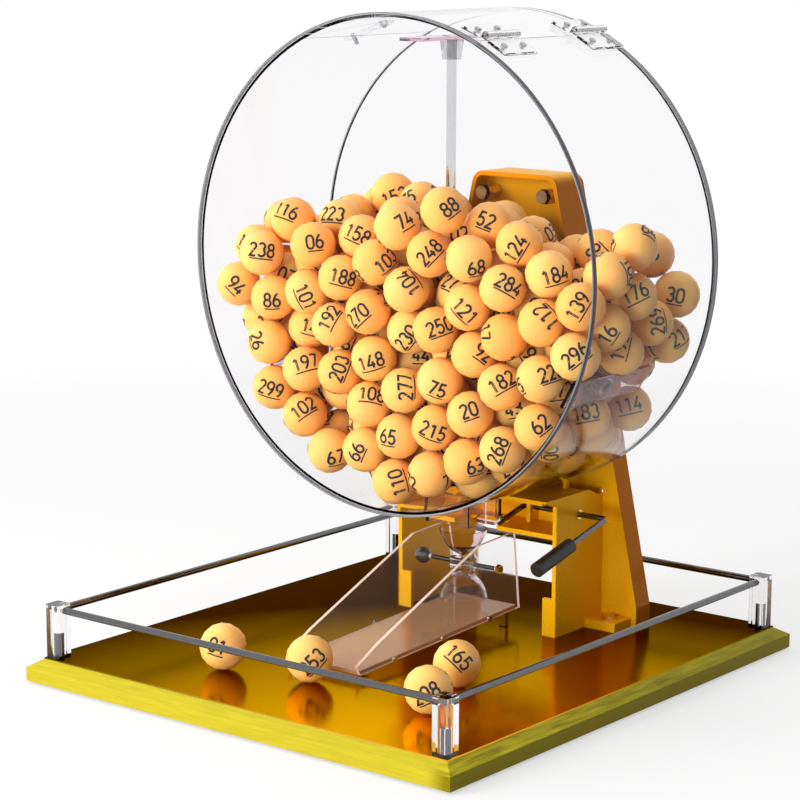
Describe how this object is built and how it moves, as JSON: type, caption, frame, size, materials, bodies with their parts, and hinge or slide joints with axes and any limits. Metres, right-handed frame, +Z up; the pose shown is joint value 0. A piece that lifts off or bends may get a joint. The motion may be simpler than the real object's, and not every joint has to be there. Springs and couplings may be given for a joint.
{
  "type": "raffle drum",
  "caption": "Hand raffle machine: a clear drum of numbered balls with a cranked stirrer, hinged door, gate lever, turning cup, chute and railed tray.",
  "frame": {"origin": "centre of the tray's footprint, on the surface that it stands on", "axes": "+Z up; the clear drum's front disc and the chute's mouth face -Y; +X is the side of the gate lever"},
  "size_m": [0.456, 0.502, 0.568],
  "materials": {
    "foot_rubber": "matt",
    "board_gold": "gloss",
    "panel_gloss": "mirror gloss",
    "clear_acrylic": "clear, polished",
    "chrome_rod": "polished",
    "stand_gold": "gloss",
    "brass": "polished",
    "steel": "bright",
    "black_grip": "matt",
    "blade_tint": "translucent",
    "ball_orange": "satin"
  },
  "bodies": {
    "root": {"base_feet": "foot_rubber", "base_board": "board_gold", "top_panel": "panel_gloss", "post_front_left": "clear_acrylic", "post_front_right": "clear_acrylic", "post_rear_left": "clear_acrylic", "post_rear_right": "clear_acrylic", "drum_front_disc": "clear_acrylic", "drum_shell": "clear_acrylic", "drum_back_disc": "clear_acrylic", "hinge_leaves_drum": "clear_acrylic", "outlet_spout": "clear_acrylic", "chute_floor": "clear_acrylic", "chute_side_left": "clear_acrylic", "chute_side_right": "clear_acrylic", "chute_feet": "clear_acrylic", "rail_front": "chrome_rod", "rail_rear": "chrome_rod", "rail_left": "chrome_rod", "rail_right": "chrome_rod", "stand_leg_left": "stand_gold", "stand_leg_right": "stand_gold", "stand_beam": "stand_gold", "stand_head": "stand_gold", "stand_front_tabs": "stand_gold", "drum_nuts": "brass", "drum_spacers": "brass", "shaft_bush": "brass", "lever_bushes": "brass", "post_studs": "steel", "stand_bolts": "steel", "drum_bolts": "steel", "hinge_pins": "steel", "hinge_screws_drum": "steel", "latch_keeper": "steel", "chute_screws": "steel", "drawn_balls": "ball_orange"},
    "stirrer": {"stirrer_shaft": "chrome_rod", "stirrer_hub": "steel", "stirrer_arms": "clear_acrylic", "stirrer_collars": "clear_acrylic", "stirrer_blades": "blade_tint", "crank_arm": "steel", "crank_pin": "steel", "balls_in_drum": "ball_orange"},
    "crank_grip": {"crank_grip": "black_grip"},
    "door": {"door": "clear_acrylic", "hinge_leaves_door": "clear_acrylic", "hinge_screws_door": "steel", "latch_screw": "steel"},
    "latch": {"latch_strap": "clear_acrylic"},
    "lever": {"lever_rod": "chrome_rod", "lever_grip": "black_grip", "gate_tongue": "clear_acrylic", "tongue_screw": "steel"},
    "cup": {"turning_cup": "clear_acrylic", "cup_spindle": "chrome_rod", "cup_knob": "chrome_rod", "cup_nut": "brass"}
  },
  "joints": [
    {"name": "stirrer_turn", "type": "hinge", "parent": "root", "child": "stirrer", "pos_m": [0, 0.155, 0.356], "axis": [0, 1, 0], "continuous": true},
    {"name": "crank_grip_turn", "type": "hinge", "parent": "stirrer", "child": "crank_grip", "pos_m": [0, 0.219, 0.276], "axis": [0, 1, 0], "continuous": true},
    {"name": "door_open", "type": "hinge", "parent": "root", "child": "door", "pos_m": [0.09363, 0.045, 0.55143], "axis": [0, 1, 0], "range_deg": [0, 110]},
    {"name": "latch_turn", "type": "hinge", "parent": "door", "child": "latch", "pos_m": [-0.07424, 0.045, 0.55458], "axis": [0.3502, 0, -0.9367], "range_deg": [0, 25]},
    {"name": "lever_lift", "type": "hinge", "parent": "root", "child": "lever", "pos_m": [0.06, 0.1186, 0.1274], "axis": [-1, 0, 0], "range_deg": [0, 16]},
    {"name": "cup_turn", "type": "hinge", "parent": "root", "child": "cup", "pos_m": [0, 0.066, 0.08], "axis": [1, 0, 0], "continuous": true}
  ]
}
